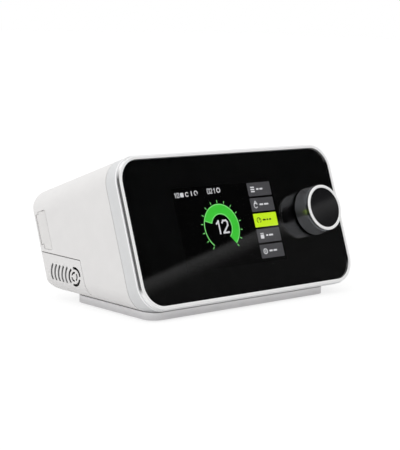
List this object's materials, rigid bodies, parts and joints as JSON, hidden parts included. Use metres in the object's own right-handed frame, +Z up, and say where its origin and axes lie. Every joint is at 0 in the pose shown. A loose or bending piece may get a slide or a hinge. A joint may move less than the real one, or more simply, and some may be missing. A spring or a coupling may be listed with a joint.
{
  "type": "bilevel pap machine",
  "caption": "Leaning bedside breathing-pressure machine with a black window, push-and-turn knob, side air filter cover, card door and a round hose outlet.",
  "frame": {"origin": "on the table under the middle of the whole object's box", "axes": "+X to the object's right seen from the front, towards the hose outlet; +Y to its back; +Z up"},
  "size_m": [0.216, 0.1258, 0.1028],
  "materials": {
    "shell_white": "fine satin moulded plastic, warm white",
    "frame_grey": "satin grey paint with a slight metallic sheen",
    "ring_chrome": "polished bright ring",
    "window_gloss": "clear glossy window over black",
    "mask_black": "black print",
    "knob_dark": "dark satin turned metal",
    "cap_black": "glossy black disc",
    "base_grey": "satin grey",
    "foot_rubber": "matt black",
    "screw_steel": "plated steel",
    "screen_dark": "dark screen glass",
    "board_green": "solder-masked board",
    "flex_amber": "amber film cable",
    "steel_battery": "plated cell",
    "plastic_black": "black moulded plastic",
    "encoder_case": "stamped case",
    "plunger_red": "moulded plunger",
    "filter_fibre": "felted filter fibre",
    "duct_grey": "light grey moulding",
    "soft_grey": "soft grey rubber duct",
    "seal_black": "soft seal",
    "mount_red": "soft silicone",
    "foam_dark": "open-cell foam",
    "wheel_white": "moulded wheel",
    "magnet_dark": "coated magnet",
    "winding_copper": "copper windings",
    "port_white": "light moulded plastic"
  },
  "bodies": {
    "case": {"housing": "shell_white", "front_frame": "frame_grey", "trim_ring": "ring_chrome", "front_lens": "window_gloss", "lens_mask": "mask_black", "display_panel": "screen_dark", "display_bracket": "screw_steel", "display_flex": "flex_amber", "main_board": "board_green", "clock_battery": "steel_battery", "speaker": "plastic_black", "board_screws": "screw_steel", "encoder_body": "encoder_case", "base_plate": "base_grey", "rubber_feet": "foot_rubber", "base_screws": "screw_steel", "air_filter": "filter_fibre", "filter_holder": "duct_grey", "air_box": "duct_grey", "air_box_lid": "duct_grey", "muffler_foam": "foam_dark", "inlet_elbow": "soft_grey", "blower_top": "duct_grey", "blower_bottom": "duct_grey", "blower_screws": "screw_steel", "blower_mounts": "mount_red", "motor_stator": "winding_copper", "motor_bearings": "screw_steel", "motor_cable": "plastic_black", "power_cable": "plastic_black", "outlet_duct": "soft_grey", "outlet_seal": "seal_black", "outlet_port": "port_white", "flow_sensor": "plastic_black", "power_board": "board_green", "dc_jack": "plastic_black", "door_pin": "screw_steel", "card_reader": "screw_steel"},
    "knob_carriage": {"switch_plunger": "plunger_red"},
    "knob": {"encoder_shaft": "screw_steel", "knob_body": "knob_dark", "knob_ring": "ring_chrome", "knob_cap": "cap_black"},
    "rotor": {"impeller": "wheel_white", "rotor_magnet": "magnet_dark", "motor_shaft": "screw_steel"},
    "side_cover": {"filter_cover": "shell_white"},
    "door": {"card_door": "shell_white"},
    "card": {"memory_card": "plastic_black"}
  },
  "joints": [
    {"name": "knob_press", "type": "slide", "parent": "case", "child": "knob_carriage", "axis": [0, 0.9397, -0.342], "range_m": [0, 0.0007], "stiffness_N_per_m": 1500},
    {"name": "knob_turn", "type": "hinge", "parent": "knob_carriage", "child": "knob", "pos_m": [0.0597, -0.04415, 0.05729], "axis": [0, -0.9397, 0.342], "continuous": true},
    {"name": "impeller_spin", "type": "hinge", "parent": "case", "child": "rotor", "pos_m": [-0.013, 0.01274, 0.0155], "axis": [0, 0, 1], "continuous": true},
    {"name": "filter_cover_pull", "type": "slide", "parent": "case", "child": "side_cover", "axis": [-1, 0, 0], "range_m": [0, 0.035]},
    {"name": "card_door_open", "type": "hinge", "parent": "case", "child": "door", "pos_m": [-0.1067, 0.04655, 0.03635], "axis": [0, -0.342, -0.9397], "range_deg": [0, 90]},
    {"name": "card_push", "type": "slide", "parent": "case", "child": "card", "axis": [1, 0, 0], "range_m": [0, 0.001], "stiffness_N_per_m": 600}
  ]
}
